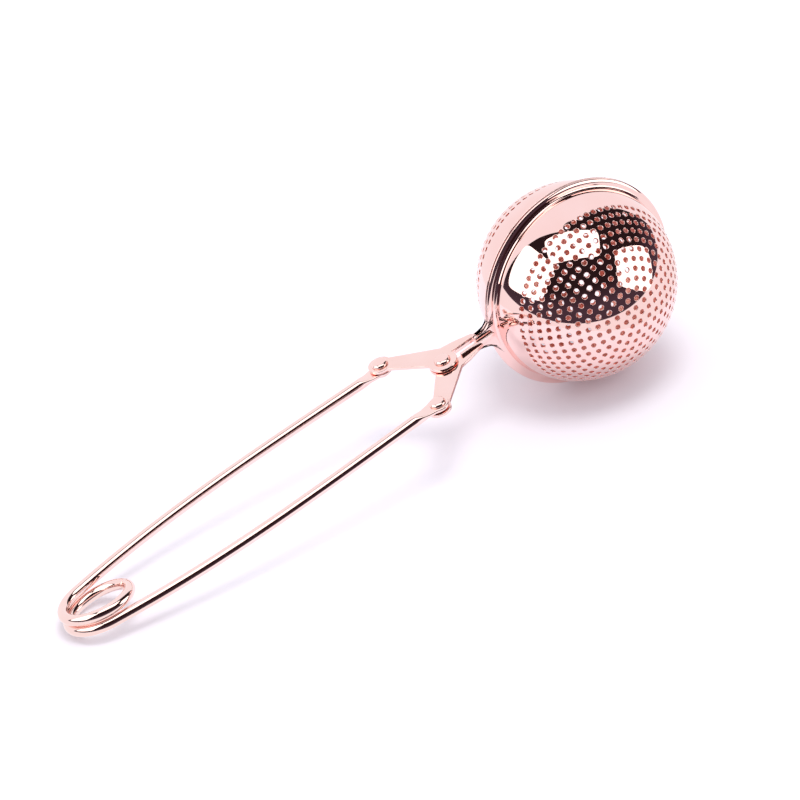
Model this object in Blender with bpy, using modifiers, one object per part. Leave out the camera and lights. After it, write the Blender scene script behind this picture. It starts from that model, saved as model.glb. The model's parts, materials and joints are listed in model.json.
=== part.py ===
"""Squeeze-handle tea infuser: a perforated ball in two halves on a sprung wire handle.

The handle is one round spring wire with a coil at its rear end. Its two legs end in flattened
eyes, riveted to two bell-crank levers that share a central pivot rivet. Each lever carries one
half of the ball, so squeezing the legs swings the halves apart.

Handle frame: +X runs forward to the ball, +Y to the far side, +Z along the three rivets.
The mechanism is the same after half a turn about the handle's X axis, so each near piece is
the far piece's shape turned over. Only the ball's centre lies lower than the plates, and its ears
point up to them. The whole handle frame is pitched so that the ball's rim and the coil both
stand on z = 0.
"""

import math

import bmesh
import bpy
from mathutils import Matrix, Vector

MM = 0.001

# Driving dimensions, in metres.
CUP_RADIUS = 24.5 * MM
CUP_SHEET = 0.5 * MM
RIM_RADIUS = 26.6 * MM
RIM_THICKNESS = 0.8 * MM
RIM_FILLET = 0.4 * MM
RIM_EDGE = 0.2 * MM
EAR_LENGTH = 4.6 * MM
EAR_HALF_WIDTH = 2.1 * MM
EAR_NECK_HALF_WIDTH = 1.75 * MM
EAR_HEAD_LENGTH = 1.2 * MM
EAR_NOTCH = 0.4 * MM
EAR_FILLET = 3.4 * MM
EAR_FILLET_END = math.radians(-28.0)
EAR_ROOT_ANGLE = math.radians(19.2)
EAR_ROOT_DEPTH = 1.0 * MM
BALL_TO_PIVOT = 40.5 * MM
BALL_DROP = 2.6 * MM
EAR_RISE = math.radians(4.0)
PIVOT_TO_LEG_EYE = (-10.4 * MM, 12.8 * MM)
LEG_EYE_TO_COIL = 93.8 * MM
WIRE_DIAMETER = 2.8 * MM
COIL_RADIUS = 8.35 * MM
COIL_GAP = 0.25 * MM
COIL_LEAN = math.radians(-15.0)
LEG_FLARE = math.radians(8.0)
LEG_BOW = 3.2
LEG_BULGE = 0.65 * MM
LEG_END_THICKNESS = 1.0 * MM
LEG_EYE_RADIUS = 2.7 * MM
LEG_FLAT_LENGTH = 7.5 * MM
LEG_FLAT_OVERLAP = 1.5 * MM
LEG_NECK_HALF_WIDTH = 1.3 * MM
LEG_EYE_FLARE = math.radians(12.0)
PLATE = 0.8 * MM
LEVER_EYE_RADIUS = 3.0 * MM
PIVOT_EYE_RADIUS = 3.65 * MM
LEVER_ARM_HALF_WIDTH = 1.8 * MM
ARM_OUTER_EDGE = math.radians(56.0)
BRACKET_SHOULDER = (2.4 * MM, 4.5 * MM)
WING_CORNER = (5.6 * MM, 3.9 * MM)
WING_FRONT = (10.5 * MM, 2.3 * MM)
TAB_ROOT = 4.4 * MM
TAB_TIP = 14.6 * MM
RIVET_RADIUS = 1.1 * MM
RIVET_HEAD_RADIUS = 2.05 * MM
RIVET_HEAD_HEIGHT = 0.9 * MM
RIVET_HEAD_ROUNDING = 0.5 * MM
PIVOT_CLEARANCE = 0.85 * MM
GAP = 0.3 * MM

# Levels along the rivets, from the mid plane of the mechanism.
HALF_GAP = GAP / 2
PLATE_TOP = HALF_GAP + PLATE
LEG_END_BOTTOM = -HALF_GAP - LEG_END_THICKNESS
LEG_LEVEL = -HALF_GAP - LEG_END_THICKNESS / 2
TAB_BOTTOM = -0.6 * MM
TAB_INNER = HALF_GAP + RIM_THICKNESS + GAP
TAB_OUTER = TAB_INNER + PLATE
COIL_X = PIVOT_TO_LEG_EYE[0] - LEG_EYE_TO_COIL

ARC_STEPS = 24
TAB_END_STEPS = 10
EAR_FILLET_STEPS = 8
HEAD_ROUNDING_STEPS = 3
CUP_STEPS = 48
CUP_ARC_STEPS = 12
COIL_STEP = math.radians(12.0)
LEG_POINTS = 22
PITCH_ROUNDS = 30
SMOOTH_ANGLE = math.radians(35.0)

STEEL_COLOUR = (0.86, 0.52, 0.42, 1.0)
WIRE_COLOUR = (0.82, 0.50, 0.41, 1.0)


def clear_scene():
    for obj in list(bpy.data.objects):
        bpy.data.objects.remove(obj, do_unlink=True)


def new_collection(name):
    collection = bpy.data.collections.new(name)
    bpy.context.scene.collection.children.link(collection)
    return collection


def steel(name, colour, roughness):
    material = bpy.data.materials.new(name)
    material.use_nodes = True
    shader = material.node_tree.nodes["Principled BSDF"]
    shader.inputs["Base Color"].default_value = colour
    shader.inputs["Metallic"].default_value = 1.0
    shader.inputs["Roughness"].default_value = roughness
    material.diffuse_color = colour
    return material


def add_object(name, mesh, collection, parent=None, material=None):
    obj = bpy.data.objects.new(name, mesh)
    collection.objects.link(obj)
    obj.parent = parent
    if material:
        obj.data.materials.append(material)
    return obj


def add_empty(name, parent, location, rotation=(0.0, 0.0, 0.0)):
    empty = bpy.data.objects.new(name, None)
    PARTS.objects.link(empty)
    empty.empty_display_size = 5 * MM
    empty.parent = parent
    empty.location = location
    empty.rotation_euler = rotation
    return empty


def apply_modifiers(obj):
    """Replaces the object's mesh with its evaluated one, its loose caps welded."""
    graph = bpy.context.evaluated_depsgraph_get()
    mesh = bpy.data.meshes.new_from_object(obj.evaluated_get(graph))
    work = bmesh.new()
    work.from_mesh(mesh)
    bmesh.ops.remove_doubles(work, verts=work.verts, dist=0.001 * MM)
    bmesh.ops.recalc_face_normals(work, faces=work.faces)
    work.to_mesh(mesh)
    work.free()
    return mesh


def tube_mesh(name, points, radius):
    """A round wire along the points, with flat filled ends."""
    curve = bpy.data.curves.new(name, "CURVE")
    curve.dimensions = "3D"
    curve.bevel_depth = radius
    curve.bevel_resolution = 2
    curve.use_fill_caps = True
    spline = curve.splines.new("POLY")
    spline.points.add(len(points) - 1)
    for target, point in zip(spline.points, points):
        target.co = (*point, 1.0)
    return curve_to_mesh(name, curve)


def plate_mesh(name, outlines, low, high):
    """A flat plate between two levels; outlines after the first are its holes."""
    curve = bpy.data.curves.new(name, "CURVE")
    curve.dimensions = "2D"
    curve.fill_mode = "BOTH"
    curve.extrude = (high - low) / 2
    for outline in outlines:
        spline = curve.splines.new("POLY")
        spline.points.add(len(outline) - 1)
        for target, point in zip(spline.points, outline):
            target.co = (point[0], point[1], 0.0, 1.0)
        spline.use_cyclic_u = True
    mesh = curve_to_mesh(name, curve)
    mesh.transform(Matrix.Translation((0.0, 0.0, (low + high) / 2)))
    return mesh


def curve_to_mesh(name, curve):
    holder = bpy.data.objects.new(name + "_curve", curve)
    CUTTERS.objects.link(holder)
    mesh = apply_modifiers(holder)
    mesh.name = name
    bpy.data.objects.remove(holder, do_unlink=True)
    bpy.data.curves.remove(curve)
    return mesh


def join_meshes(name, base, tool, operation):
    """A Boolean of two meshes, as a new mesh."""
    target = add_object(name + "_base", base, CUTTERS)
    cutter = add_object(name + "_tool", tool, CUTTERS)
    cutter.hide_render = True
    cutter.display_type = "WIRE"
    boolean = target.modifiers.new("Boolean", "BOOLEAN")
    boolean.operation = operation
    boolean.solver = "EXACT"
    boolean.object = cutter
    mesh = apply_modifiers(target)
    mesh.name = name
    bpy.data.objects.remove(target, do_unlink=True)
    bpy.data.objects.remove(cutter, do_unlink=True)
    return mesh


def arc(centre, radius, start, end, steps=ARC_STEPS):
    """Points on a circle from one angle to another, both ends included."""
    turn = (end - start) / steps
    angles = [start + turn * i for i in range(steps + 1)]
    return [(centre[0] + radius * math.cos(a), centre[1] + radius * math.sin(a)) for a in angles]


def circle(centre, radius, steps=ARC_STEPS):
    return arc(centre, radius, 0.0, math.tau, steps)[:-1]


def coil_point(angle):
    """The wire's centre at an angle round the coil, from the top turn down to the bottom one."""
    first = math.pi / 2 + LEG_FLARE
    last = math.tau + math.pi * 3 / 2 - LEG_FLARE
    pitch = WIRE_DIAMETER + COIL_GAP
    level = pitch * ((first + last) / 2 - angle) / math.tau
    point = Vector((COIL_RADIUS * math.cos(angle), COIL_RADIUS * math.sin(angle), level))
    return Matrix.Rotation(COIL_LEAN, 3, "X") @ point


def coil_points():
    first = math.pi / 2 + LEG_FLARE
    last = math.tau + math.pi * 3 / 2 - LEG_FLARE
    trim = HALF_GAP / COIL_RADIUS
    steps = round((last - first) / COIL_STEP)
    turn = (last - first - 2 * trim) / steps
    return [coil_point(first + trim + turn * i) for i in range(steps + 1)]


def leg_points():
    """The leg's centre from the coil's top turn to its flat end, in the coil centre's frame."""
    start = coil_point(math.pi / 2 + LEG_FLARE)
    end = Vector((LEG_EYE_TO_COIL - LEG_FLAT_LENGTH, PIVOT_TO_LEG_EYE[1], LEG_LEVEL))
    trim = HALF_GAP / (end.x - start.x)
    points = []
    for i in range(LEG_POINTS + 1):
        t = trim + (1 - trim) * i / LEG_POINTS
        x = start.x + (end.x - start.x) * t
        y = start.y + (end.y - start.y) * (1 - (1 - t) ** LEG_BOW) + LEG_BULGE * math.sin(math.pi * t)
        z = start.z + (end.z - start.z) * t * t * (3 - 2 * t)
        points.append(Vector((x, y, z)))
    return points


def leg_mesh():
    """A leg with its flattened eye, about the coil's centre."""
    eye = (LEG_EYE_TO_COIL, PIVOT_TO_LEG_EYE[1])
    neck = LEG_NECK_HALF_WIDTH
    opening = math.asin(neck / LEG_EYE_RADIUS) + LEG_EYE_FLARE
    root = eye[0] - LEG_FLAT_LENGTH - LEG_FLAT_OVERLAP
    front = eye[0] - LEG_FLAT_LENGTH + LEG_FLAT_OVERLAP
    outline = [(root, eye[1] + neck), (root, eye[1] - neck), (front, eye[1] - neck)]
    outline += arc(eye, LEG_EYE_RADIUS, opening - math.pi, math.pi - opening)
    outline += [(front, eye[1] + neck)]
    holes = circle(eye, RIVET_RADIUS + GAP)
    flat = plate_mesh("leg_flat", [outline, holes], LEG_END_BOTTOM, -HALF_GAP)
    wire = tube_mesh("leg_wire", leg_points(), WIRE_DIAMETER / 2)
    return join_meshes("leg", wire, flat, "UNION")


def lever_outline():
    """The bell crank seen along the rivets, from its pivot, the ball's half lying on +Y."""
    eye = Vector(PIVOT_TO_LEG_EYE)
    reach = math.atan2(-eye.y, -eye.x)
    inner = math.asin(LEVER_ARM_HALF_WIDTH / LEVER_EYE_RADIUS)
    tab_angle = math.asin(TAB_INNER / PIVOT_EYE_RADIUS)
    pivot_inner = reach + math.pi + math.asin(LEVER_ARM_HALF_WIDTH / PIVOT_EYE_RADIUS)
    points = arc(eye, LEVER_EYE_RADIUS, reach + ARM_OUTER_EDGE, reach + math.tau - inner)
    points += arc((0.0, 0.0), PIVOT_EYE_RADIUS, pivot_inner, math.tau + tab_angle)
    points += [(WING_FRONT[0], TAB_INNER), WING_FRONT, WING_CORNER, BRACKET_SHOULDER]
    return points


def tab_outline():
    """The welding tab seen from the side: x forward, and y along the rivets."""
    height = PLATE_TOP - TAB_BOTTOM
    nose = (TAB_TIP - height / 2, (PLATE_TOP + TAB_BOTTOM) / 2)
    end = arc(nose, height / 2, -math.pi / 2, math.pi / 2, TAB_END_STEPS)
    return [(TAB_ROOT, PLATE_TOP), (TAB_ROOT, TAB_BOTTOM), *end]


def lever_mesh(name, pivot_hole):
    """A bell-crank lever about its leg eye, the folded tab standing along its inner edge."""
    eye = PIVOT_TO_LEG_EYE
    holes = [circle(eye, RIVET_RADIUS + GAP), circle((0.0, 0.0), pivot_hole)]
    plate = plate_mesh(name + "_plate", [lever_outline(), *holes], HALF_GAP, PLATE_TOP)
    tab = plate_mesh(name + "_tab", [tab_outline()], TAB_INNER, TAB_OUTER)
    tab.transform(Matrix(((1, 0, 0, 0), (0, 0, 1, 0), (0, 1, 0, 0), (0, 0, 0, 1))))
    tab.flip_normals()
    mesh = join_meshes(name, plate, tab, "UNION")
    mesh.transform(Matrix.Translation((-eye[0], -eye[1], 0.0)))
    return mesh


def rivet_mesh(name, low, high):
    """A rivet along Z with a low head past each end of its shank, its edge rounded over."""
    corner = RIVET_HEAD_RADIUS - RIVET_HEAD_ROUNDING
    top = high + RIVET_HEAD_HEIGHT - RIVET_HEAD_ROUNDING
    bottom = low - RIVET_HEAD_HEIGHT + RIVET_HEAD_ROUNDING
    quarter = math.pi / 2
    profile = [(0.0, top + RIVET_HEAD_ROUNDING)]
    profile += arc((corner, top), RIVET_HEAD_ROUNDING, quarter, 0.0, HEAD_ROUNDING_STEPS)
    profile += [(RIVET_HEAD_RADIUS, high), (RIVET_RADIUS, high), (RIVET_RADIUS, low)]
    profile += [(RIVET_HEAD_RADIUS, low)]
    profile += arc((corner, bottom), RIVET_HEAD_ROUNDING, 0.0, -quarter, HEAD_ROUNDING_STEPS)
    profile += [(0.0, bottom - RIVET_HEAD_ROUNDING)]
    return turned_mesh(name, profile, ARC_STEPS)


def turned_mesh(name, profile, steps):
    """Turns a profile of (radius, height) points, listed top to bottom, about Z."""
    mesh = bpy.data.meshes.new(name)
    work = bmesh.new()
    corners = [work.verts.new((radius, 0.0, height)) for radius, height in profile]
    for first, second in zip(corners, corners[1:]):
        work.edges.new((first, second))
    work.to_mesh(mesh)
    work.free()
    holder = add_object(name + "_profile", mesh, CUTTERS)
    screw = holder.modifiers.new("Screw", "SCREW")
    screw.steps = steps
    screw.render_steps = steps
    screw.use_merge_vertices = True
    screw.merge_threshold = 0.01 * MM
    turned = apply_modifiers(holder)
    turned.name = name
    bpy.data.objects.remove(holder, do_unlink=True)
    return turned


def cup_profile():
    """Half a section of the ball's half, its open face down and its pole up."""
    quarter = math.pi / 2
    inner = CUP_RADIUS - CUP_SHEET
    rim_top = HALF_GAP + RIM_THICKNESS
    outer_end = math.asin((rim_top + RIM_FILLET) / CUP_RADIUS)
    inner_end = math.asin(HALF_GAP / inner)
    angles = [quarter + (outer_end - quarter) * i / CUP_ARC_STEPS for i in range(CUP_ARC_STEPS + 1)]
    profile = [(CUP_RADIUS * math.cos(a), CUP_RADIUS * math.sin(a)) for a in angles]
    profile[0] = (0.0, CUP_RADIUS)
    profile += [(CUP_RADIUS + RIM_FILLET, rim_top)]
    profile += [(RIM_RADIUS - RIM_EDGE, rim_top), (RIM_RADIUS, rim_top - RIM_EDGE)]
    profile += [(RIM_RADIUS, HALF_GAP)]
    angles = [inner_end + (quarter - inner_end) * i / CUP_ARC_STEPS for i in range(CUP_ARC_STEPS + 1)]
    profile += [(inner * math.cos(a), inner * math.sin(a)) for a in angles]
    profile[-1] = (0.0, inner)
    return profile


def ear_outline():
    """The ear on the rim's rear edge, its sides curving out into the rim."""
    tip = -RIM_RADIUS - EAR_LENGTH
    neck = tip + EAR_HEAD_LENGTH
    half = [(tip + EAR_NOTCH, 0.0), (tip + EAR_NOTCH, EAR_HALF_WIDTH - 2 * EAR_NOTCH)]
    half += [(tip, EAR_HALF_WIDTH), (neck - EAR_NOTCH, EAR_HALF_WIDTH)]
    centre = (neck, EAR_NECK_HALF_WIDTH + EAR_FILLET)
    half += arc(centre, EAR_FILLET, -math.pi / 2, EAR_FILLET_END, EAR_FILLET_STEPS)
    root = RIM_RADIUS - EAR_ROOT_DEPTH
    half += [(-root * math.cos(EAR_ROOT_ANGLE), root * math.sin(EAR_ROOT_ANGLE))]
    mirrored = [(x, -y) for x, y in reversed(half[1:])]
    return half + mirrored


def cup_mesh():
    """One half of the ball with its rim and ear, about the ball's centre, its pole on +Y."""
    shell = turned_mesh("cup_shell", cup_profile(), CUP_STEPS)
    ear = plate_mesh("cup_ear", [ear_outline()], HALF_GAP, HALF_GAP + RIM_THICKNESS)
    mesh = join_meshes("cup", shell, ear, "UNION")
    mesh.transform(Matrix.Rotation(-math.pi / 2, 4, "X"))
    return mesh


def standing_pitch():
    """The handle's slope when the ball's rim and the coil both stand on one level."""
    slope = 0.0
    centre = Vector((BALL_TO_PIVOT, 0.0, -BALL_DROP))
    coil = [Vector((COIL_X, 0.0, 0.0)) + point - centre for point in coil_points()]
    for _ in range(PITCH_ROUNDS):
        lowest = min(p.z * math.cos(slope) + p.x * math.sin(slope) for p in coil)
        slope += (RIM_RADIUS + lowest - WIRE_DIAMETER / 2) / (centre.x - COIL_X)
    return slope


def shade(obj):
    obj.data.shade_smooth()
    obj.data.set_sharp_from_angle(angle=SMOOTH_ANGLE)


def build():
    slope = standing_pitch()
    rear = COIL_X - COIL_RADIUS - WIRE_DIAMETER / 2
    ball = Matrix.Rotation(-slope, 3, "Y") @ Vector((BALL_TO_PIVOT, 0.0, -BALL_DROP))
    front = ball.x + RIM_RADIUS
    back = rear * math.cos(slope)
    place = Vector((-(front + back) / 2, 0.0, RIM_RADIUS - ball.z))
    frame = add_empty("handle_frame", None, place, (0.0, -slope, 0.0))

    polished = steel("rose_gold_steel", STEEL_COLOUR, 0.12)
    wire = steel("rose_gold_wire", WIRE_COLOUR, 0.15)

    coil = add_object("handle_coil", tube_mesh("coil", coil_points(), WIRE_DIAMETER / 2), PARTS, frame, wire)
    coil.location = (COIL_X, 0.0, 0.0)
    shade(coil)

    leg = leg_mesh()
    cup = cup_mesh()
    levers = {
        "far": lever_mesh("far_lever", RIVET_RADIUS + GAP),
        "near": lever_mesh("near_lever", RIVET_RADIUS + PIVOT_CLEARANCE),
    }
    leg_rivet = rivet_mesh("leg_rivet", LEG_END_BOTTOM - GAP, PLATE_TOP + GAP)
    pivot_rivet = rivet_mesh("pivot_rivet", -PLATE_TOP - GAP, PLATE_TOP + GAP)
    eye = Vector((*PIVOT_TO_LEG_EYE, 0.0))
    for side, turn, way in (("far", 0.0, 1.0), ("near", math.pi, -1.0)):
        leg_hinge = add_empty(side + "_leg_hinge", frame, (COIL_X, 0.0, 0.0), (turn, 0.0, 0.0))
        lever_hinge = add_empty(side + "_lever_hinge", leg_hinge, (LEG_EYE_TO_COIL, eye.y, 0.0))
        pieces = [add_object(side + "_leg", leg.copy(), PARTS, leg_hinge, wire)]
        pieces.append(add_object(side + "_lever", levers[side], PARTS, lever_hinge, polished))
        pieces.append(add_object(side + "_rivet", leg_rivet.copy(), PARTS, lever_hinge, polished))
        cup_object = add_object(side + "_cup", cup.copy(), PARTS, lever_hinge, polished)
        cup_object.location = (BALL_TO_PIVOT - eye.x, -eye.y, -way * BALL_DROP)
        cup_object.rotation_euler = (0.0, way * EAR_RISE, 0.0)
        pieces.append(cup_object)
        if side == "far":
            pivot = add_object("pivot_rivet", pivot_rivet, PARTS, lever_hinge, polished)
            pivot.location = -eye
            pieces.append(pivot)
        for piece in pieces:
            shade(piece)


clear_scene()
PARTS = new_collection("tea_infuser")
CUTTERS = new_collection("cutters")
build()
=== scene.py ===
"""The looks of the squeeze-handle tea infuser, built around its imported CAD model.

Pieces are modelled in the handle's frame, in metres: X runs forward from the pivot rivet to the
ball, Y to the far side, Z along the rivets. Near pieces are the far ones turned over about X.
"""
import json
import math

import bmesh
import bpy
import numpy as np
from mathutils import Matrix, Vector
from mathutils.geometry import delaunay_2d_cdt


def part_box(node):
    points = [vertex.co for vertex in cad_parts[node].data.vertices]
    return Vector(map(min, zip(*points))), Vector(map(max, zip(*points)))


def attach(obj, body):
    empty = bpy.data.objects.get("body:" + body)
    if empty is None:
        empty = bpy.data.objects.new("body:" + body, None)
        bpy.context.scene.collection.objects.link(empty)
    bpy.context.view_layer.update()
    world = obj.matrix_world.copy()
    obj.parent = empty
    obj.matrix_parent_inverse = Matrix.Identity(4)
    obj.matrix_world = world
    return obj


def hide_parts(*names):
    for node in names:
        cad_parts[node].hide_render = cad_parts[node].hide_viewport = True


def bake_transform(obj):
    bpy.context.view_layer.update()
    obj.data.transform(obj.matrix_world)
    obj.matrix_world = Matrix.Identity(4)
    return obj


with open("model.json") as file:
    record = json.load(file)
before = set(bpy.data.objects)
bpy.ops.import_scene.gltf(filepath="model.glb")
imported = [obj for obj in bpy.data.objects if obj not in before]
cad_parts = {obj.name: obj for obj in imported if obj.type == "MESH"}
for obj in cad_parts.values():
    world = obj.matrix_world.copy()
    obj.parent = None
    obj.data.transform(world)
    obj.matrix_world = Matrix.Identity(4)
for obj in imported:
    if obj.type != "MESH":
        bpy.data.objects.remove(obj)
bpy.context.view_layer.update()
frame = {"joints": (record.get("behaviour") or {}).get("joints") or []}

MM = 0.001
JOINTS = {joint["name"]: joint for joint in frame["joints"]}

# Sizes that the CAD model also has, in the handle's frame.
CUP_RADIUS = 24.5 * MM
CUP_SHEET = 0.5 * MM
RIM_RADIUS = 26.6 * MM
RIM_THICKNESS = 0.8 * MM
EAR_LENGTH = 4.6 * MM
EAR_HALF_WIDTH = 2.1 * MM
EAR_NECK_HALF_WIDTH = 1.75 * MM
EAR_FILLET = 3.4 * MM
EAR_RISE = math.radians(4.0)
WIRE_RADIUS = 1.4 * MM
COIL_RADIUS = 8.35 * MM
COIL_PITCH = 3.05 * MM
COIL_LEAN = math.radians(-15.0)
LEG_FLARE = math.radians(8.0)
LEG_BOW = 3.2
LEG_BULGE = 0.65 * MM
LEG_LEVEL = -0.65 * MM
LEG_EYE_RADIUS = 2.7 * MM
LEG_FLAT_LENGTH = 7.5 * MM
LEG_END_HALF_THICKNESS = 0.5 * MM
LEVER_EYE_RADIUS = 3.0 * MM
PIVOT_EYE_RADIUS = 3.65 * MM
PLATE_LOW = 0.15 * MM
PLATE_HIGH = 0.95 * MM
TAB_LOW = -0.6 * MM
TAB_INNER = 1.0 * MM
TAB_OUTER = 1.85 * MM
TAB_ROOT = 4.4 * MM
TAB_TIP = 14.6 * MM
LEVER_ARM_HALF_WIDTH = 1.8 * MM
ARM_OUTER_EDGE = math.radians(56.0)
WING_FRONT = (10.5 * MM, 2.3 * MM)
WING_CORNER = (5.6 * MM, 3.9 * MM)
WING_SHOULDER = (2.4 * MM, 4.5 * MM)
RIVET_HEAD_RADIUS = 2.05 * MM
RIVET_RADIUS = 1.1 * MM
HALF_GAP = 0.15 * MM
NEAR_PIVOT_PLAY = 0.85 * MM

# Roundings and small steps that only show from close by.
RIM_FILLET = 0.75 * MM
RIM_EDGE = 0.2 * MM
RIM_CROWN = 1.2 * MM
RIM_CROWN_AT_EAR = 0.3 * MM
RIM_CROWN_DROP = 0.5 * MM
CROWN_FADE_START = math.radians(14.0)
CROWN_FADE_LENGTH = math.radians(16.0)
EAR_HEAD_LENGTH = 1.6 * MM
EAR_SWELL_LENGTH = 0.9 * MM
EAR_CORNER = 0.7 * MM
EAR_NOTCH = 0.25 * MM
EAR_FILLET_START = math.radians(-128.0)
EAR_FILLET_END = math.radians(-90.0)
EAR_ROOT_ANGLE = math.radians(15.0)
PADDLE_FLARE = 0.9 * MM
PADDLE_LENGTH = 6.5 * MM
FLAT_TO_ROUND = 3.6 * MM
PLATE_EDGE = 0.14 * MM
TAB_TOP = PLATE_HIGH - 0.03 * MM
RIVET_PLAY = 0.1 * MM
RIVET_SEAT = 0.06 * MM

# The perforation: rings of holes about the cup's pole.
HOLE_RINGS = 12
HOLES_PER_RING = 6
RING_ANGLE = math.radians(5.62)
HOLE_RADIUS = 0.63 * MM
HOLE_STEPS = 16
BAND_START = math.radians(70.6)
HOLE_TURN = math.radians(3.0)

# The metals, linear colours.
CUP_COLOUR = (0.97, 0.70, 0.66)
LEVER_COLOUR = (0.97, 0.72, 0.67)
WIRE_COLOUR = (0.97, 0.74, 0.69)
# Painted shade: a darker, redder colour for the inside of the ball, standing in for the shade in the
# hollow.
INSIDE_SHADE_COLOUR = (0.93, 0.57, 0.49)
INSIDE_ROUGHNESS = 0.22

# The studio. Angles are in degrees: azimuth 0 points to -Y and 90 to +X.
PAPER_COLOUR = (0.885, 0.875, 0.93)
FLOOR_CENTRE = (0.02, 0.035)
FLOOR_REFLECTED_RADIUS = 0.10
FLOOR_RADIUS = 3.0
WORLD_COLOUR = (0.97, 0.955, 1.0)
WORLD_STRENGTH = 1.05
SOFTBOX_COLOUR = (1.0, 0.985, 0.97)
SOFTBOX_STRENGTH = 2.0

# The dark room reaches round to ROOM_HALF_WIDTH on each side of its middle. Its lower edge is
# tilted in front, and across the back it climbs from ROOM_BACK_LOW to nearly overhead.
ROOM_RADIUS = 1.2
ROOM_MIDDLE = -10.0
ROOM_HALF_WIDTH = 116.0
ROOM_SIDE_EDGE = 6.0
ROOM_LOW = -5.0
ROOM_LOW_TILT = 15.0
ROOM_LOW_AZIMUTH = -5.0
ROOM_BACK_LOW = 73.0
ROOM_TOP = 89.0

CAMERA_TARGET = (0.01568, 0.01252, 0.00963)
CAMERA_AZIMUTH = -27.42
CAMERA_ELEVATION = 32.19
CAMERA_ROLL = -11.27
CAMERA_DISTANCE = 1.5
CAMERA_LENS = 277.8


# ---------------------------------------------------------------- the handle's frame

def box_centre(node):
    low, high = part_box(node)
    return (low + high) / 2


def handle_matrix():
    axis_z = Vector(JOINTS["far_cup_swing"]["axis"]).normalized()
    axis_y = Vector((0.0, 1.0, 0.0))
    axis_x = axis_y.cross(axis_z)
    matrix = Matrix((axis_x, axis_y, axis_z)).transposed().to_4x4()
    matrix.translation = box_centre("pivot_rivet")
    return matrix


HANDLE = handle_matrix()
TO_HANDLE = HANDLE.inverted()
TURNED = Matrix.Rotation(math.pi, 4, "X")
SIDES = {"far": HANDLE, "near": HANDLE @ TURNED}
COIL_CENTRE = TO_HANDLE @ Vector(JOINTS["far_leg_squeeze"]["pos_m"])
LEG_EYE = TO_HANDLE @ Vector(JOINTS["far_cup_swing"]["pos_m"])


def ball_centre():
    low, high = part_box("far_cup")
    radius = (high.z - low.z) / 2
    return Vector((high.x - radius, 0.0, (low.z + high.z) / 2))


BALL = ball_centre()


# ---------------------------------------------------------------- meshes

def add_mesh(name, points, faces, matrix, material, normals=None):
    """A mesh object in the row frame from points in the handle's frame."""
    mesh = bpy.data.meshes.new(name)
    turn = np.array(matrix.to_3x3())
    placed = np.asarray(points) @ turn.T + np.array(matrix.translation)
    mesh.from_pydata(placed.tolist(), [], faces)
    mesh.update()
    mesh.shade_smooth()
    if normals is not None:
        mesh.normals_split_custom_set_from_vertices((np.asarray(normals) @ turn.T).tolist())
    obj = bpy.data.objects.new(name, mesh)
    bpy.context.scene.collection.objects.link(obj)
    mesh.materials.append(material)
    return obj


def place(obj, body, slot, *nodes):
    """Lets an object ride on a body and stand in for CAD nodes."""
    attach(obj, body)
    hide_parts(*nodes)


def strip(first, second):
    """Quads between two closed rings of vertex numbers."""
    count = len(first)
    return [(first[i], first[(i + 1) % count], second[(i + 1) % count], second[i]) for i in range(count)]


def unit(vectors):
    return vectors / np.linalg.norm(vectors, axis=-1, keepdims=True)


def smooth(share):
    share = min(1.0, max(0.0, share))
    return share * share * (3 - 2 * share)


def arc(centre, radius, start, end, steps=20):
    return [(centre[0] + radius * math.cos(start + (end - start) * i / steps),
             centre[1] + radius * math.sin(start + (end - start) * i / steps)) for i in range(steps + 1)]


# ---------------------------------------------------------------- the perforated cups

def hole_centres():
    """Polar angle and azimuth of each hole; every ring has one hole on a line near the ear."""
    centres = [(0.0, 0.0)]
    for ring in range(1, HOLE_RINGS + 1):
        count = HOLES_PER_RING * ring
        centres += [(ring * RING_ANGLE, math.pi + HOLE_TURN + math.tau * i / count) for i in range(count)]
    return np.array(centres)


def sphere_direction(polar, azimuth):
    return np.stack([np.sin(polar) * np.cos(azimuth), np.sin(polar) * np.sin(azimuth),
                     np.cos(polar) + 0 * azimuth], -1)


def hole_rings(radius, depth, tilt):
    """One row of points round every hole, at a distance from its axis and below the outer face."""
    polar, azimuth = hole_centres().T
    axis = sphere_direction(polar, azimuth)[:, None]
    outward = sphere_direction(polar + math.pi / 2, azimuth)[:, None]
    sideways = np.cross(axis, outward)
    turn = (np.arange(HOLE_STEPS) * math.tau / HOLE_STEPS)[None, :, None]
    arm = outward * np.cos(turn) + sideways * np.sin(turn)
    spread = radius / CUP_RADIUS
    radial = axis * math.cos(spread) + arm * math.sin(spread)
    points = radial * (CUP_RADIUS - depth)
    inward = unit(np.cross(np.cross(radial, -arm), radial))
    normals = radial * math.cos(tilt) + inward * math.sin(tilt)
    return points.reshape(-1, 3), unit(normals.reshape(-1, 3))


def web_points():
    """Extra directions on the web between the rings of holes."""
    polar, azimuth = [], []
    for ring in range(HOLE_RINGS + 1):
        count = 12 * ring + 6
        polar += [(ring + 0.5) * RING_ANGLE] * count
        azimuth += [math.pi + HOLE_TURN + math.tau * (i + 0.5) / count for i in range(count)]
    polar, azimuth = np.array(polar), np.array(azimuth)
    clear = polar < BAND_START - 0.2 * RING_ANGLE
    return sphere_direction(polar[clear], azimuth[clear])


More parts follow.
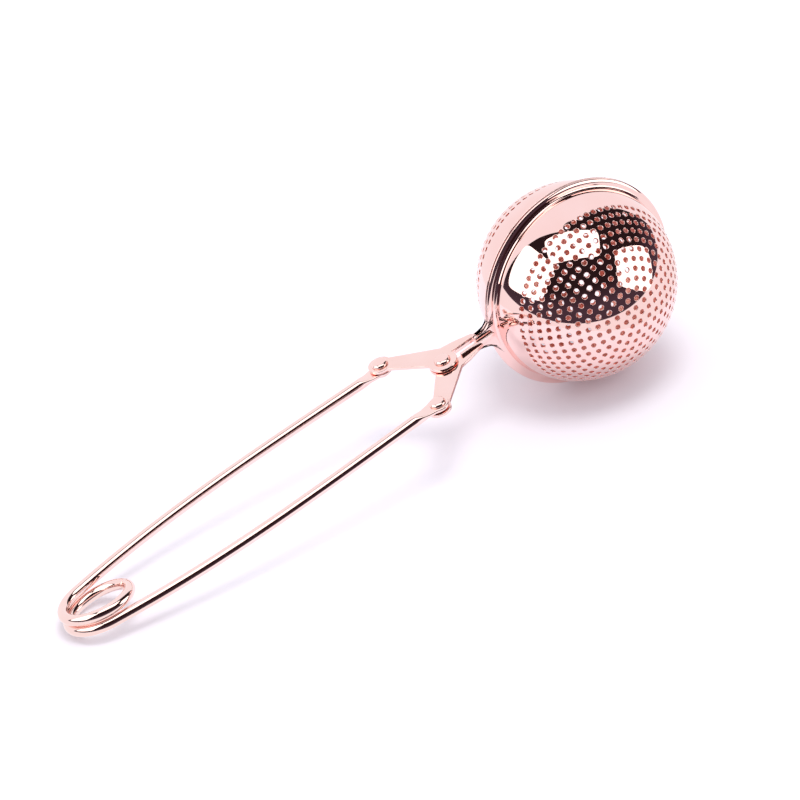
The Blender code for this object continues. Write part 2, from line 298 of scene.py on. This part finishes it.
def web_triangles(rings, extra, border):
    """Triangles over the perforated area, none across a hole."""
    points = np.concatenate([rings, extra, border])
    polar = np.arccos(np.clip(unit(points)[:, 2], -1, 1))
    azimuth = np.arctan2(points[:, 1], points[:, 0])
    flat = [Vector((p * math.cos(a), p * math.sin(a))) for p, a in zip(polar, azimuth)]
    holes = len(rings) // HOLE_STEPS
    edges = []
    for hole in range(holes):
        first = hole * HOLE_STEPS
        edges += [(first + i, first + (i + 1) % HOLE_STEPS) for i in range(HOLE_STEPS)]
    start = len(rings) + len(extra)
    edges += [(start + i, start + (i + 1) % len(border)) for i in range(len(border))]
    found = delaunay_2d_cdt(flat, edges, [], 0, 1e-7, True)
    source = [ids[0] for ids in found[3]]
    triangles = []
    for face in found[2]:
        corners = [source[v] for v in face]
        owners = {c // HOLE_STEPS if c < len(rings) else -1 - c for c in corners}
        if len(owners) > 1:
            triangles.append(corners)
    return triangles


def ear_half_outline():
    """One side of the ear from the rim to the middle of its tip, in the rim's plane."""
    tip = RIM_RADIUS + EAR_LENGTH
    neck = tip - EAR_HEAD_LENGTH
    swell = EAR_HALF_WIDTH - EAR_NECK_HALF_WIDTH
    points = arc((neck, EAR_NECK_HALF_WIDTH + EAR_FILLET), EAR_FILLET, EAR_FILLET_START, EAR_FILLET_END, 12)
    for share in (0.25, 0.5, 0.75, 1.0):
        points.append((neck + EAR_SWELL_LENGTH * share, EAR_NECK_HALF_WIDTH + swell * smooth(share)))
    corner = (tip - EAR_CORNER, EAR_HALF_WIDTH - EAR_CORNER)
    points += arc(corner, EAR_CORNER, math.pi / 2, 0.0, 6)[1:]
    points += [(tip - EAR_NOTCH / 2, EAR_CORNER), (tip - EAR_NOTCH, 0.0)]
    return [np.array(p) for p in points]


def rim_outline():
    """Base angles round the rim and the outline that each column of the rim reaches."""
    half = ear_half_outline()
    root = math.atan2(half[0][1], half[0][0])
    steps = np.linalg.norm(np.diff(half, axis=0), axis=1)
    share = np.concatenate([[0.0], np.cumsum(steps)]) / steps.sum()
    ear = list(zip(EAR_ROOT_ANGLE * (1 - share), half))
    mirrored = [(-a, p * np.array([1, -1])) for a, p in reversed(ear[:-1])]
    around = 168
    lead = np.linspace(root, math.tau - root, around)[1:-1]
    base = np.linspace(EAR_ROOT_ANGLE, math.tau - EAR_ROOT_ANGLE, around)[1:-1]
    circle = [(b, RIM_RADIUS * np.array([math.cos(a), math.sin(a)])) for a, b in zip(lead, base)]
    ordered = sorted(ear + circle + mirrored, key=lambda c: c[0] % math.tau)
    azimuth = np.array([c[0] for c in ordered]) + math.pi
    outline = -np.array([c[1] for c in ordered])
    return azimuth, outline


def rim_rows(azimuth, outline):
    """Rows of points and normals over the plain band, round the rim and back inside.

    The crown is the rounded front edge of the rim; it narrows towards the ear on one side of it.
    """
    radial = np.stack([np.cos(azimuth), np.sin(azimuth)], -1)
    along = np.roll(outline, -1, 0) - np.roll(outline, 1, 0)
    outward = unit(np.stack([along[:, 1], -along[:, 0]], -1))
    top, low, edge = HALF_GAP + RIM_THICKNESS, HALF_GAP, RIM_EDGE
    share = np.clip((np.abs(azimuth - math.pi)[:, None] - CROWN_FADE_START) / CROWN_FADE_LENGTH, 0, 1)
    crown = RIM_CROWN_AT_EAR + (RIM_CROWN - RIM_CROWN_AT_EAR) * share * share * (3 - 2 * share)
    inner = CUP_RADIUS - CUP_SHEET
    reach = math.sqrt((CUP_RADIUS + RIM_FILLET) ** 2 - (top + RIM_FILLET) ** 2)
    touch = math.atan2(reach, top + RIM_FILLET)
    rows = []

    def row(flat, level, normal_flat, normal_up):
        level = np.full((len(flat), 1), level)
        up = np.full((len(flat), 1), normal_up)
        rows.append((np.concatenate([flat, level], 1), unit(np.concatenate([normal_flat, up], 1))))

    for polar in np.linspace(BAND_START, touch, 9):
        row(radial * CUP_RADIUS * math.sin(polar), CUP_RADIUS * math.cos(polar),
            radial * math.sin(polar), math.cos(polar))
    for turn in np.linspace(0, 1, 8)[1:]:
        angle = touch * (1 - turn)
        row(radial * (reach - RIM_FILLET * math.sin(angle)), top + RIM_FILLET * (1 - math.cos(angle)),
            radial * math.sin(angle), math.cos(angle))
    for share in (0.25, 0.5, 0.75):
        flat = radial * reach * (1 - share) + (outline - outward * crown) * share
        row(flat, top, radial * 0, 1.0)
    for angle in np.radians([0, 15, 30, 45, 60, 75, 90]):
        row(outline - outward * crown * (1 - math.sin(angle)), top - RIM_CROWN_DROP * (1 - math.cos(angle)),
            outward * math.sin(angle) * RIM_CROWN_DROP / crown, math.cos(angle))
    for angle in np.radians([90, 112, 135, 158, 180]):
        row(outline - outward * edge * (1 - math.sin(angle)), low + edge * (1 + math.cos(angle)),
            outward * math.sin(angle), math.cos(angle))
    mouth = math.sqrt(inner ** 2 - (low + edge) ** 2)
    for share in (0.3, 0.6, 0.85):
        flat = radial * (mouth + edge) * share + (outline - outward * edge) * (1 - share)
        row(flat, low, radial * 0, -1.0)
    for angle in np.radians([0, 30, 60, 88]):
        row(radial * (mouth + edge * (1 - math.sin(angle))), low + edge * (1 - math.cos(angle)),
            -radial * math.sin(angle), -math.cos(angle))
    start = math.acos((low + 1.6 * edge) / inner)
    for polar in np.linspace(start, BAND_START, 8):
        row(radial * inner * math.sin(polar), inner * math.cos(polar),
            -radial * math.sin(polar), -math.cos(polar))
    return rows


def hole_walls():
    """Rows over each hole's rounded lip, down its wall and out on the inner face."""
    wall = [(0.14, 0.0, 0), (0.08, 0.015, 24), (0.03, 0.05, 52), (0.0, 0.12, 85)]
    wall = [(widening, depth * MM, slope) for widening, depth, slope in wall]
    wall += [(0.0, CUP_SHEET - 0.07 * MM, 95), (0.04, CUP_SHEET - 0.02 * MM, 135), (0.1, CUP_SHEET, 180)]
    return [hole_rings(HOLE_RADIUS + w * MM, depth, math.radians(slope)) for w, depth, slope in wall]


def cup_shape():
    """Points, faces and normals of one half of the ball, its pole on +Z."""
    wall_rows = hole_walls()
    azimuth, outline = rim_outline()
    rim = rim_rows(azimuth, outline)
    extra = web_points()
    inner = CUP_RADIUS - CUP_SHEET
    blocks = [(wall_rows[0][0], wall_rows[0][1]), (extra * CUP_RADIUS, extra)] + rim
    blocks += [(wall_rows[-1][0], wall_rows[-1][1]), (extra * inner, -extra)] + wall_rows[1:-1]
    starts = np.concatenate([[0], np.cumsum([len(b[0]) for b in blocks])])
    points = np.concatenate([b[0] for b in blocks])
    normals = np.concatenate([b[1] for b in blocks])
    triangles = web_triangles(wall_rows[0][0], extra, rim[0][0])
    holes, spare, border = len(wall_rows[0][0]), len(extra), len(azimuth)
    last_rim = starts[1 + len(rim)]
    back = starts[2 + len(rim)]

    def inside(corner):
        if corner < holes + spare:
            return int(back + corner)
        return int(last_rim + corner - holes - spare)

    faces = [tuple(t) for t in triangles]
    faces += [tuple(inside(c) for c in reversed(t)) for t in triangles]
    for index in range(len(rim) - 1):
        a, b = starts[2 + index], starts[3 + index]
        faces += strip([int(b + i) for i in range(border)], [int(a + i) for i in range(border)])
    levels = [0] + [int(starts[4 + len(rim) + i]) for i in range(len(wall_rows) - 2)] + [int(back)]
    for a, b in zip(levels, levels[1:]):
        for hole in range(holes // HOLE_STEPS):
            first = [a + hole * HOLE_STEPS + i for i in range(HOLE_STEPS)]
            second = [b + hole * HOLE_STEPS + i for i in range(HOLE_STEPS)]
            faces += strip(first, second)
    return points, faces, normals


def make_cups(material):
    points, faces, normals = cup_shape()
    pole_to_side = np.array(((1, 0, 0), (0, 0, 1), (0, -1, 0)))
    points, normals = points @ pole_to_side.T, normals @ pole_to_side.T
    for side, way in (("far", 1.0), ("near", -1.0)):
        turn = SIDES[side] @ Matrix.Rotation(way * EAR_RISE, 4, "Y")
        turn.translation = BALL
        cup = add_mesh(side + "_cup_shell", points, faces, turn, material, normals)
        place(cup, side + "_half", "cups", side + "_cup")


# ---------------------------------------------------------------- the spring wire

def coil_point(angle):
    first = math.pi / 2 + LEG_FLARE
    last = math.tau + math.pi * 3 / 2 - LEG_FLARE
    level = COIL_PITCH * ((first + last) / 2 - angle) / math.tau
    point = Vector((COIL_RADIUS * math.cos(angle), COIL_RADIUS * math.sin(angle), level))
    return Matrix.Rotation(COIL_LEAN, 3, "X") @ point


def leg_line(count):
    """The leg's centre line from its flattened end back to the coil, about the coil's centre."""
    start = coil_point(math.pi / 2 + LEG_FLARE)
    reach = LEG_EYE.x - COIL_CENTRE.x
    end = Vector((reach - LEG_FLAT_LENGTH, LEG_EYE.y, LEG_LEVEL))
    points = []
    for i in range(count):
        t = 1 - i / count
        x = start.x + (end.x - start.x) * t
        y = start.y + (end.y - start.y) * (1 - (1 - t) ** LEG_BOW) + LEG_BULGE * math.sin(math.pi * t)
        z = start.z + (end.z - start.z) * t * t * (3 - 2 * t)
        points.append(Vector((x, y, z)))
    return points


def end_sections():
    """Offset along X, half width and half thickness over the leg's flattened end, tip first."""
    sections = []
    for i in range(1, 13):
        angle = math.radians(90.0 * i / 12)
        sections.append((LEG_EYE_RADIUS * math.cos(angle), LEG_EYE_RADIUS * math.sin(angle), 0.0))
    for i in range(1, 31):
        back = LEG_FLAT_LENGTH * i / 30
        eye = math.sqrt(max(0.0, LEG_EYE_RADIUS ** 2 - back ** 2))
        paddle = WIRE_RADIUS + PADDLE_FLARE * smooth(1 - back / PADDLE_LENGTH)
        swell = smooth((back - FLAT_TO_ROUND) / (LEG_FLAT_LENGTH - FLAT_TO_ROUND))
        sections.append((-back, max(eye, paddle), swell))
    return sections


def wire_rings():
    """Centre, half width, half thickness and roundness of each section, from the eye to mid-coil."""
    eye_x = LEG_EYE.x - COIL_CENTRE.x
    rings = []
    for offset, width, swell in end_sections():
        centre = Vector((eye_x + offset, LEG_EYE.y, LEG_LEVEL))
        half = LEG_END_HALF_THICKNESS + (WIRE_RADIUS - LEG_END_HALF_THICKNESS) * swell
        rings.append([centre, max(width, 0.12 * MM), half, swell])
    for point in leg_line(110)[1:]:
        rings.append([point, WIRE_RADIUS, WIRE_RADIUS, 1.0])
    first = math.pi / 2 + LEG_FLARE
    steps = 66
    for i in range(steps + 1):
        rings.append([coil_point(first + (math.tau - first) * i / steps), WIRE_RADIUS, WIRE_RADIUS, 1.0])
    return rings


def wire_shape():
    sides = 36
    rings = wire_rings()
    centres = np.array([r[0] for r in rings])
    tangent = unit(np.gradient(centres, axis=0))
    up = np.array([0.0, 0.0, 1.0])
    points = []
    for (centre, wide, half, roundness), direction in zip(rings, tangent):
        across = unit(np.cross(up, direction))
        over = np.cross(direction, across)
        power = 2.0 + 3.5 * (1 - roundness)
        for i in range(sides):
            angle = math.tau * i / sides
            c, s = math.cos(angle), math.sin(angle)
            x = math.copysign(abs(c) ** (2 / power), c) * wide
            y = math.copysign(abs(s) ** (2 / power), s) * half
            points.append(np.array(centre) + across * x + over * y)
    faces = []
    for ring in range(len(rings) - 1):
        a = [ring * sides + i for i in range(sides)]
        b = [(ring + 1) * sides + i for i in range(sides)]
        faces += strip(a, b)
    faces.append(tuple(range(sides))[::-1])
    last = (len(rings) - 1) * sides
    faces.append(tuple(last + i for i in range(sides)))
    return np.array(points) + np.array(COIL_CENTRE), faces


def make_wire(material):
    points, faces = wire_shape()
    for side, way in (("far", 1.0), ("near", -1.0)):
        wire = add_mesh(side + "_spring_wire", points, faces, SIDES[side], material)
        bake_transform(wire)
        nodes = [side + "_leg"] + (["handle_coil"] if side == "far" else [])
        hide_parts(*nodes)


# ---------------------------------------------------------------- levers and rivets

def ring(centre, radius):
    return arc(centre, radius, 0.0, math.tau, 24)[:-1]


def lever_outline():
    eye = (LEG_EYE.x, LEG_EYE.y)
    reach = math.atan2(-eye[1], -eye[0])
    inner = math.asin(LEVER_ARM_HALF_WIDTH / LEVER_EYE_RADIUS)
    pivot_inner = reach + math.pi + math.asin(LEVER_ARM_HALF_WIDTH / PIVOT_EYE_RADIUS)
    tab_angle = math.asin(TAB_INNER / PIVOT_EYE_RADIUS)
    points = arc(eye, LEVER_EYE_RADIUS, reach + ARM_OUTER_EDGE, reach + math.tau - inner)
    points += arc((0.0, 0.0), PIVOT_EYE_RADIUS, pivot_inner, math.tau + tab_angle)
    return points + [(WING_FRONT[0], TAB_INNER), WING_FRONT, WING_CORNER, WING_SHOULDER]


def plate_shape(outlines, low, high):
    """A flat plate with rounded edges; outlines after the first are holes."""
    curve = bpy.data.curves.new("plate", "CURVE")
    curve.dimensions = "2D"
    curve.fill_mode = "BOTH"
    curve.extrude = (high - low) / 2 - PLATE_EDGE
    curve.bevel_depth = PLATE_EDGE
    curve.bevel_resolution = 3
    curve.offset = -PLATE_EDGE
    for outline in outlines:
        spline = curve.splines.new("POLY")
        spline.points.add(len(outline) - 1)
        for target, point in zip(spline.points, outline):
            target.co = (point[0], point[1], 0.0, 1.0)
        spline.use_cyclic_u = True
    holder = bpy.data.objects.new("plate", curve)
    bpy.context.scene.collection.objects.link(holder)
    graph = bpy.context.evaluated_depsgraph_get()
    mesh = bpy.data.meshes.new_from_object(holder.evaluated_get(graph))
    bpy.data.objects.remove(holder, do_unlink=True)
    work = bmesh.new()
    work.from_mesh(mesh)
    bmesh.ops.remove_doubles(work, verts=work.verts, dist=0.0005 * MM)
    bmesh.ops.recalc_face_normals(work, faces=work.faces)
    work.to_mesh(mesh)
    work.free()
    mesh.transform(Matrix.Translation((0.0, 0.0, (low + high) / 2)))
    return mesh


def tab_outline():
    height = TAB_TOP - TAB_LOW
    nose = (TAB_TIP - height / 2, (TAB_TOP + TAB_LOW) / 2)
    return [(TAB_ROOT, TAB_TOP), (TAB_ROOT, TAB_LOW)] + arc(nose, height / 2, -math.pi / 2, math.pi / 2, 16)


def make_levers(material):
    """Each lever is a flat plate and an upright tab in one piece."""
    swap_y_and_z = Matrix(((1, 0, 0, 0), (0, 0, 1, 0), (0, 1, 0, 0), (0, 0, 0, 1)))
    tab = plate_shape([tab_outline()], TAB_INNER, TAB_OUTER)
    tab.transform(swap_y_and_z)
    tab.flip_normals()
    for side, play in (("far", RIVET_PLAY), ("near", NEAR_PIVOT_PLAY)):
        leg_hole = ring((LEG_EYE.x, LEG_EYE.y), RIVET_RADIUS + RIVET_PLAY)
        pivot_hole = ring((0.0, 0.0), RIVET_RADIUS + play)
        plate = plate_shape([lever_outline(), leg_hole, pivot_hole], PLATE_LOW, PLATE_HIGH)
        work = bmesh.new()
        work.from_mesh(plate)
        work.from_mesh(tab)
        mesh = bpy.data.meshes.new(side + "_lever_plate")
        work.to_mesh(mesh)
        work.free()
        mesh.transform(SIDES[side])
        mesh.shade_smooth()
        mesh.set_sharp_from_angle(angle=math.radians(30.0))
        mesh.materials.clear()
        mesh.materials.append(material)
        lever = bpy.data.objects.new(side + "_lever_plate", mesh)
        bpy.context.scene.collection.objects.link(lever)
        place(lever, side + "_half", "polished_steel", side + "_lever")


def lathe_shape(profile, centre, steps=48):
    points, faces = [], []
    for radius, level in profile:
        points += [(x, y, level) for x, y in arc(centre, radius, 0.0, math.tau, steps)[:-1]]
    for row in range(len(profile) - 1):
        a = [row * steps + i for i in range(steps)]
        b = [(row + 1) * steps + i for i in range(steps)]
        faces += strip(b, a)
    faces.append(tuple(range(steps)))
    last = (len(profile) - 1) * steps
    faces.append(tuple(last + i for i in range(steps))[::-1])
    return np.array(points), faces


def rivet_profile(low, high):
    """Down the rivet's outer side from the middle of its upper head."""
    def head(level, way):
        dome = [(0.25 * MM, 0.90), (0.8 * MM, 0.89), (1.2 * MM, 0.86), (1.5 * MM, 0.79), (1.75 * MM, 0.66),
                (1.93 * MM, 0.46), (RIVET_HEAD_RADIUS, 0.22), (RIVET_HEAD_RADIUS, 0.06), (1.99 * MM, 0.0)]
        return [(r, level + way * h * MM) for r, h in dome]
    upper = head(high, 1.0) + [(RIVET_RADIUS, high)]
    lower = [(RIVET_RADIUS, low)] + head(low, -1.0)[::-1]
    return upper + lower


def make_rivet(name, side, node, low, high, centre, material):
    points, faces = lathe_shape(rivet_profile(low - RIVET_SEAT, high + RIVET_SEAT), centre)
    rivet = add_mesh(name, points, faces, SIDES[side], material)
    rivet.data.set_sharp_from_angle(angle=math.radians(50.0))
    place(rivet, side + "_half", "rivets", node)


def make_rivets(material):
    leg_low = LEG_LEVEL - LEG_END_HALF_THICKNESS
    leg_eye = (LEG_EYE.x, LEG_EYE.y)
    make_rivet("far_leg_rivet", "far", "far_rivet", leg_low, PLATE_HIGH, leg_eye, material)
    make_rivet("near_leg_rivet", "near", "near_rivet", leg_low, PLATE_HIGH, leg_eye, material)
    make_rivet("middle_rivet", "far", "pivot_rivet", -PLATE_HIGH, PLATE_HIGH, (0.0, 0.0), material)


# ---------------------------------------------------------------- materials

def blend(tree, share, socket, colour):
    """Mixes a socket's colour towards a plain colour."""
    mix = tree.nodes.new("ShaderNodeMix")
    mix.data_type = "RGBA"
    mix.inputs["B"].default_value = (*colour, 1.0)
    tree.links.new(share, mix.inputs["Factor"])
    tree.links.new(socket, mix.inputs["A"])
    return mix.outputs["Result"]


def polished(name, colour, roughness, ripple, scale, inside=None):
    """Polished rose-gold plate: slight haze, faint ripples and a colour that drifts a little.

    Faces nearer than a radius to a centre, both given by inside, are duller and take a darker, redder
    colour that is painted shade for the hollow inside the ball.
    """
    material = bpy.data.materials.new(name)
    material.use_nodes = True
    tree = material.node_tree
    shader = tree.nodes["Principled BSDF"]
    shader.inputs["Metallic"].default_value = 1.0
    coordinates = tree.nodes.new("ShaderNodeTexCoord")

    def noise(size, detail):
        node = tree.nodes.new("ShaderNodeTexNoise")
        node.inputs["Scale"].default_value = size
        node.inputs["Detail"].default_value = detail
        tree.links.new(coordinates.outputs["Object"], node.inputs["Vector"])
        return node.outputs["Fac"]

    def ramp(source, stops):
        node = tree.nodes.new("ShaderNodeValToRGB")
        for element, (position, value) in zip(node.color_ramp.elements, stops):
            element.position = position
            element.color = value
        tree.links.new(source, node.inputs["Fac"])
        return node.outputs["Color"]

    deep = tuple(c * k for c, k in zip(colour, (0.985, 0.955, 0.94))) + (1.0,)
    tint = ramp(noise(90.0, 2.0), [(0.35, deep), (0.65, (*colour, 1.0))])
    low, high = roughness * 0.7, roughness * 1.5
    haze = ramp(noise(420.0, 4.0), [(0.3, (low, low, low, 1.0)), (0.75, (high, high, high, 1.0))])
    if inside:
        centre, radius = inside
        distance = tree.nodes.new("ShaderNodeVectorMath")
        distance.operation = "DISTANCE"
        distance.inputs[1].default_value = centre
        tree.links.new(coordinates.outputs["Object"], distance.inputs[0])
        within = tree.nodes.new("ShaderNodeMath")
        within.operation = "LESS_THAN"
        within.inputs[1].default_value = radius
        tree.links.new(distance.outputs["Value"], within.inputs[0])
        # Painted shade inside the ball: faces within the radius take the darker, redder colour.
        tint = blend(tree, within.outputs["Value"], tint, INSIDE_SHADE_COLOUR)
        haze = blend(tree, within.outputs["Value"], haze, (INSIDE_ROUGHNESS,) * 3)
    tree.links.new(tint, shader.inputs["Base Color"])
    tree.links.new(haze, shader.inputs["Roughness"])
    bump = tree.nodes.new("ShaderNodeBump")
    bump.inputs["Strength"].default_value = ripple
    bump.inputs["Distance"].default_value = 0.02 * MM
    tree.links.new(noise(scale, 2.0), bump.inputs["Height"])
    tree.links.new(bump.outputs["Normal"], shader.inputs["Normal"])
    return material


def plain(name, colour, roughness):
    material = bpy.data.materials.new(name)
    material.use_nodes = True
    shader = material.node_tree.nodes["Principled BSDF"]
    shader.inputs["Base Color"].default_value = (*colour, 1.0)
    shader.inputs["Roughness"].default_value = roughness
    return material


def glow(name, colour, strength):
    """A surface that shines evenly."""
    material = bpy.data.materials.new(name)
    material.use_nodes = True
    tree = material.node_tree
    tree.nodes.clear()
    emission = tree.nodes.new("ShaderNodeEmission")
    emission.inputs["Color"].default_value = (*colour, 1.0)
    emission.inputs["Strength"].default_value = strength
    output = tree.nodes.new("ShaderNodeOutputMaterial")
    tree.links.new(emission.outputs["Emission"], output.inputs["Surface"])
    return material


def dim_room(name):
    """Nearly black overhead, a warm dark grey low down."""
    material = glow(name, (1.0, 1.0, 1.0), 1.0)
    tree = material.node_tree
    coordinates = tree.nodes.new("ShaderNodeTexCoord")
    split = tree.nodes.new("ShaderNodeSeparateXYZ")
    ramp = tree.nodes.new("ShaderNodeValToRGB")
    low, high = ramp.color_ramp.elements
    low.position, low.color = 0.0, (0.066, 0.042, 0.060, 1.0)
    high.position, high.color = 0.45, (0.022, 0.012, 0.014, 1.0)
    tree.links.new(coordinates.outputs["Object"], split.inputs["Vector"])
    tree.links.new(split.outputs["Z"], ramp.inputs["Fac"])
    tree.links.new(ramp.outputs["Color"], tree.nodes["Emission"].inputs["Color"])
    return material


# ---------------------------------------------------------------- the studio

def direction(azimuth, elevation):
    """Unit vector: azimuth 0 points to -Y, 90 to +X; both in degrees."""
    a, e = math.radians(azimuth), math.radians(elevation)
    return Vector((math.sin(a) * math.cos(e), -math.cos(a) * math.cos(e), math.sin(e)))


def only_reflected(obj):
    obj.visible_camera = False
    obj.visible_diffuse = False
    obj.visible_transmission = False
    obj.visible_volume_scatter = False
    obj.visible_shadow = False


def make_disc(name, centre, inner, outer, material):
    """A flat ring on the floor about a point; no inner radius makes a full disc."""
    steps = 96
    points = [(x, y, 0.0) for x, y in arc(centre, outer, 0.0, math.tau, steps)[:-1]]
    faces = [tuple(range(steps))]
    if inner:
        points += [(x, y, 0.0) for x, y in arc(centre, inner, 0.0, math.tau, steps)[:-1]]
        faces = strip(range(steps), range(steps, 2 * steps))
    mesh = bpy.data.meshes.new(name)
    mesh.from_pydata(points, [], faces)
    mesh.materials.append(material)
    disc = bpy.data.objects.new(name, mesh)
    bpy.context.scene.collection.objects.link(disc)
    return disc


def make_floor():
    """White paper; only its middle shows in the metal, as the studio beyond it is dark in front."""
    paper = plain("floor_paper", PAPER_COLOUR, 0.9)
    make_disc("floor_middle", FLOOR_CENTRE, 0.0, FLOOR_REFLECTED_RADIUS, paper)
    outer = make_disc("floor", FLOOR_CENTRE, FLOOR_REFLECTED_RADIUS, FLOOR_RADIUS, paper)
    outer.visible_glossy = False


def room_edge(azimuth):
    """Elevation of the dark room's lower edge."""
    away = abs((azimuth - ROOM_MIDDLE + 180.0) % 360.0 - 180.0)
    share = min(1.0, max(0.0, (away - ROOM_HALF_WIDTH) / ROOM_SIDE_EDGE))
    front = ROOM_LOW - ROOM_LOW_TILT * math.cos(math.radians(azimuth - ROOM_LOW_AZIMUTH))
    round_the_back = (azimuth - ROOM_MIDDLE - ROOM_HALF_WIDTH) % 360.0 / (360.0 - 2 * ROOM_HALF_WIDTH)
    back = ROOM_BACK_LOW + (ROOM_TOP - ROOM_BACK_LOW) * min(1.0, round_the_back)
    return front + (back - front) * share


def make_dark_room():
    """The unlit part of the studio, in front and overhead; it shows only in reflections."""
    steps_round, steps_up = 72, 24
    points, faces = [], []
    for i in range(steps_round):
        azimuth = -180.0 + 360.0 * i / steps_round
        low = room_edge(azimuth)
        for j in range(steps_up):
            elevation = low + (ROOM_TOP - low) * j / (steps_up - 1)
            points.append(BALL + direction(azimuth, elevation) * ROOM_RADIUS)
    for i in range(steps_round):
        k = (i + 1) % steps_round
        for j in range(steps_up - 1):
            faces.append((i * steps_up + j, k * steps_up + j, k * steps_up + j + 1, i * steps_up + j + 1))
    mesh = bpy.data.meshes.new("dark_room")
    mesh.from_pydata([tuple(p) for p in points], [], faces)
    room = bpy.data.objects.new("dark_room", mesh)
    mesh.materials.append(dim_room("unlit_studio"))
    bpy.context.scene.collection.objects.link(room)
    only_reflected(room)


def make_softbox_card(name, azimuth, elevation, distance, width, height, roll, squareness):
    """A bright rounded rectangle facing the ball, seen only in reflections."""
    back = direction(azimuth, elevation)
    turn = back.to_track_quat("Z", "Y").to_matrix().to_4x4() @ Matrix.Rotation(math.radians(roll), 4, "Z")
    turn.translation = BALL + back * distance
    points = []
    for i in range(96):
        angle = math.tau * i / 96
        c, s = math.cos(angle), math.sin(angle)
        x = math.copysign(abs(c) ** (2 / squareness), c) * width / 2
        y = math.copysign(abs(s) ** (2 / squareness), s) * height / 2
        points.append((x, y, 0.0))
    mesh = bpy.data.meshes.new(name)
    mesh.from_pydata(points, [], [tuple(range(96))])
    mesh.transform(turn)
    card = bpy.data.objects.new(name, mesh)
    mesh.materials.append(glow(name + "_light", SOFTBOX_COLOUR, SOFTBOX_STRENGTH))
    bpy.context.scene.collection.objects.link(card)
    only_reflected(card)


def make_light(name, azimuth, elevation, distance, size, watts, colour):
    light = bpy.data.lights.new(name, "AREA")
    light.shape = "DISK"
    light.size = size
    light.energy = watts
    light.color = colour
    lamp = bpy.data.objects.new(name, light)
    back = direction(azimuth, elevation)
    lamp.location = back * distance
    lamp.rotation_mode = "QUATERNION"
    lamp.rotation_quaternion = back.to_track_quat("Z", "Y")
    lamp.visible_glossy = False
    lamp.visible_camera = False
    bpy.context.scene.collection.objects.link(lamp)


def make_white_world():
    world = bpy.data.worlds.new("white_studio")
    world.use_nodes = True
    background = world.node_tree.nodes["Background"]
    background.inputs["Color"].default_value = (*WORLD_COLOUR, 1.0)
    background.inputs["Strength"].default_value = WORLD_STRENGTH
    bpy.context.scene.world = world


def make_studio():
    make_floor()
    make_dark_room()
    make_white_world()
    make_softbox_card("left_softbox", azimuth=-95.0, elevation=31.0, distance=0.6,
                      width=0.54, height=0.50, roll=0.0, squareness=9.0)
    make_softbox_card("top_softbox", azimuth=-22.0, elevation=72.0, distance=0.6,
                      width=0.64, height=0.36, roll=-6.0, squareness=9.0)
    make_softbox_card("right_softbox", azimuth=44.5, elevation=12.0, distance=0.33,
                      width=0.29, height=0.24, roll=-38.0, squareness=4.5)
    make_light("overhead", azimuth=20.0, elevation=78.0, distance=3.0, size=1.36, watts=30.0,
               colour=(1.0, 0.97, 0.96))
    scene = bpy.context.scene
    scene.view_settings.view_transform = "Standard"
    scene.cycles.glossy_bounces = 10


def make_camera():
    camera = bpy.data.cameras.new("camera")
    camera.sensor_width = 36.0
    camera.lens = CAMERA_LENS
    camera.clip_start, camera.clip_end = 0.05, 20.0
    holder = bpy.data.objects.new("camera", camera)
    back = direction(CAMERA_AZIMUTH, CAMERA_ELEVATION)
    turn = back.to_track_quat("Z", "Y") @ Matrix.Rotation(math.radians(CAMERA_ROLL), 3, "Z").to_quaternion()
    holder.rotation_mode = "QUATERNION"
    holder.rotation_quaternion = turn
    holder.location = Vector(CAMERA_TARGET) + back * CAMERA_DISTANCE
    bpy.context.scene.collection.objects.link(holder)
    bpy.context.scene.camera = holder


bowl_inside = (BALL, CUP_RADIUS - CUP_SHEET / 2)
make_cups(polished("cup_plate", CUP_COLOUR, roughness=0.03, ripple=0.12, scale=260.0, inside=bowl_inside))
make_wire(polished("wire_plate", WIRE_COLOUR, roughness=0.04, ripple=0.15, scale=300.0))
make_levers(polished("lever_plate", LEVER_COLOUR, roughness=0.06, ripple=0.25, scale=500.0))
make_rivets(polished("rivet_plate", LEVER_COLOUR, roughness=0.06, ripple=0.2, scale=500.0))
make_studio()
make_camera()
